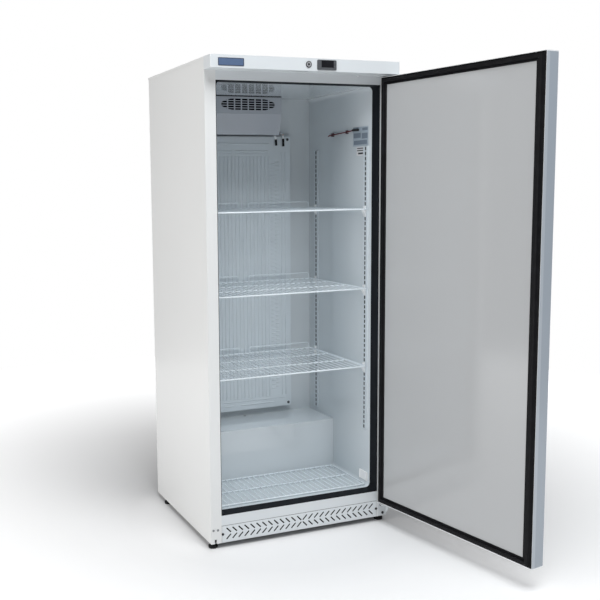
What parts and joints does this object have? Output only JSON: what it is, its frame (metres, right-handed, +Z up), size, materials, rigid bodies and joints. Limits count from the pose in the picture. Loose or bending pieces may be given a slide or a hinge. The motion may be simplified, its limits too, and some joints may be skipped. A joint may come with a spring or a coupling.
{
  "type": "reach-in refrigerator",
  "caption": "Upright white refrigerator with one hinged door, wire shelves, a rear cooling plate and a controller and lock in a fascia.",
  "frame": {"origin": "on the floor, midway between the four feet", "axes": "+X towards the hinge side, +Y towards the back, +Z up"},
  "size_m": [0.907, 1.4271, 1.845],
  "materials": {
    "white_steel": "gloss white powder coat",
    "front_white": "gloss white powder coat, cooler tone",
    "galvanised": "galvanised sheet",
    "foam": "rigid polyurethane foam",
    "liner": "smooth pale blue-grey moulded plastic",
    "door_lining": "flat glossy light grey sheet",
    "breaker": "black extruded plastic",
    "gasket": "black soft magnetic gasket",
    "black_plastic": "black moulded plastic",
    "grey_plastic": "dark grey moulded plastic",
    "display": "dark smoked window",
    "button": "light grey moulded caps",
    "badge": "blue enamel, blank",
    "chrome": "bright plated",
    "zinc": "zinc plated",
    "white_plastic": "white moulded plastic",
    "evaporator": "pale grey coated aluminium",
    "wire_white": "white dip coating on steel wire",
    "pilaster": "pale grey coated steel",
    "compressor": "semi-gloss black enamel",
    "rubber": "soft black rubber",
    "copper": "drawn copper tube",
    "fins": "bare fins"
  },
  "bodies": {
    "cabinet": {"back_panel": "galvanised", "badge_plate": "badge", "base_frame": "galvanised", "bottom_hinge_bracket": "front_white", "breaker_strips": "breaker", "cabinet_screws": "zinc", "compressor": "compressor", "compressor_mounts": "rubber", "condenser": "fins", "condenser_fan_shroud": "galvanised", "controller_case": "grey_plastic", "controller_display": "display", "cord_inlet": "black_plastic", "door_switch_body": "white_plastic", "drip_tray": "grey_plastic", "evaporator_fixings": "zinc", "evaporator_plate": "evaporator", "fan_housing": "liner", "fan_motors": "zinc", "fascia": "front_white", "front_rails": "front_white", "hinge_pins": "zinc", "hole_plugs": "white_plastic", "inner_liner": "liner", "insulation_foam": "foam", "kick_grille": "front_white", "machine_lining": "galvanised", "pilasters": "pilaster", "rear_grille": "galvanised", "refrigerant_lines": "copper", "shelf_clips": "white_plastic", "side_panel_left": "white_steel", "side_panel_right": "white_steel", "temperature_probe": "black_plastic", "top_hinge_bracket": "front_white", "top_panel": "white_steel", "wall_clips": "white_plastic"},
    "door": {"door_end_caps": "white_plastic", "door_foam": "foam", "door_gasket": "gasket", "door_handle": "grey_plastic", "door_hinge_bushes": "black_plastic", "door_liner": "door_lining", "door_skin": "front_white"},
    "lock": {"lock_cylinder": "chrome"},
    "switch_plunger": {"door_switch_plunger": "white_plastic"},
    "air_fan": {"evaporator_fan": "black_plastic"},
    "condenser_fan_rotor": {"condenser_fan": "black_plastic"},
    "floor_rack_body": {"floor_rack": "wire_white"},
    "button_1": {"controller_button_1": "button"},
    "button_2": {"controller_button_2": "button"},
    "button_3": {"controller_button_3": "button"},
    "button_4": {"controller_button_4": "button"},
    "shelf_1_body": {"shelf_1": "wire_white"},
    "shelf_2_body": {"shelf_2": "wire_white"},
    "shelf_3_body": {"shelf_3": "wire_white"},
    "foot_front_left_body": {"foot_front_left": "black_plastic"},
    "foot_front_right_body": {"foot_front_right": "black_plastic"},
    "foot_rear_left_body": {"foot_rear_left": "black_plastic"},
    "foot_rear_right_body": {"foot_rear_right": "black_plastic"}
  },
  "joints": [
    {"name": "door_swing", "type": "hinge", "parent": "cabinet", "child": "door", "pos_m": [0.3647, -0.3217, 0], "axis": [0, 0, 1], "range_deg": [-98.9, 0]},
    {"name": "lock_turn", "type": "hinge", "parent": "cabinet", "child": "lock", "pos_m": [-0.002, -0.339, 1.822], "axis": [0, -1, 0], "range_deg": [0, 90]},
    {"name": "door_switch_press", "type": "slide", "parent": "cabinet", "child": "switch_plunger", "axis": [0, 1, 0], "range_m": [0, 0.005], "stiffness_N_per_m": 200, "springref_m": -0.002},
    {"name": "air_fan_spin", "type": "hinge", "parent": "cabinet", "child": "air_fan", "pos_m": [0, 0.222, 1.724], "axis": [1, 0, 0], "continuous": true},
    {"name": "condenser_fan_spin", "type": "hinge", "parent": "cabinet", "child": "condenser_fan_rotor", "pos_m": [-0.205, 0.239, 0.15], "axis": [0, 1, 0], "continuous": true},
    {"name": "floor_rack_slide", "type": "slide", "parent": "cabinet", "child": "floor_rack_body", "axis": [0, -1, 0], "range_m": [0, 0.28]},
    {"name": "button_1_press", "type": "slide", "parent": "cabinet", "child": "button_1", "axis": [0, 1, 0], "range_m": [0, 0.0012], "stiffness_N_per_m": 500, "springref_m": -0.0008},
    {"name": "button_2_press", "type": "slide", "parent": "cabinet", "child": "button_2", "axis": [0, 1, 0], "range_m": [0, 0.0012], "stiffness_N_per_m": 500, "springref_m": -0.0008},
    {"name": "button_3_press", "type": "slide", "parent": "cabinet", "child": "button_3", "axis": [0, 1, 0], "range_m": [0, 0.0012], "stiffness_N_per_m": 500, "springref_m": -0.0008},
    {"name": "button_4_press", "type": "slide", "parent": "cabinet", "child": "button_4", "axis": [0, 1, 0], "range_m": [0, 0.0012], "stiffness_N_per_m": 500, "springref_m": -0.0008},
    {"name": "shelf_1_slide", "type": "slide", "parent": "cabinet", "child": "shelf_1_body", "axis": [0, -1, 0], "range_m": [0, 0.45]},
    {"name": "shelf_2_slide", "type": "slide", "parent": "cabinet", "child": "shelf_2_body", "axis": [0, -1, 0], "range_m": [0, 0.45]},
    {"name": "shelf_3_slide", "type": "slide", "parent": "cabinet", "child": "shelf_3_body", "axis": [0, -1, 0], "range_m": [0, 0.45]},
    {"name": "foot_front_left_turn", "type": "hinge", "parent": "cabinet", "child": "foot_front_left_body", "pos_m": [-0.37, -0.264, 0], "axis": [0, 0, 1], "continuous": true},
    {"name": "foot_front_right_turn", "type": "hinge", "parent": "cabinet", "child": "foot_front_right_body", "pos_m": [0.37, -0.264, 0], "axis": [0, 0, 1], "continuous": true},
    {"name": "foot_rear_left_turn", "type": "hinge", "parent": "cabinet", "child": "foot_rear_left_body", "pos_m": [-0.37, 0.264, 0], "axis": [0, 0, 1], "continuous": true},
    {"name": "foot_rear_right_turn", "type": "hinge", "parent": "cabinet", "child": "foot_rear_right_body", "pos_m": [0.37, 0.264, 0], "axis": [0, 0, 1], "continuous": true}
  ]
}
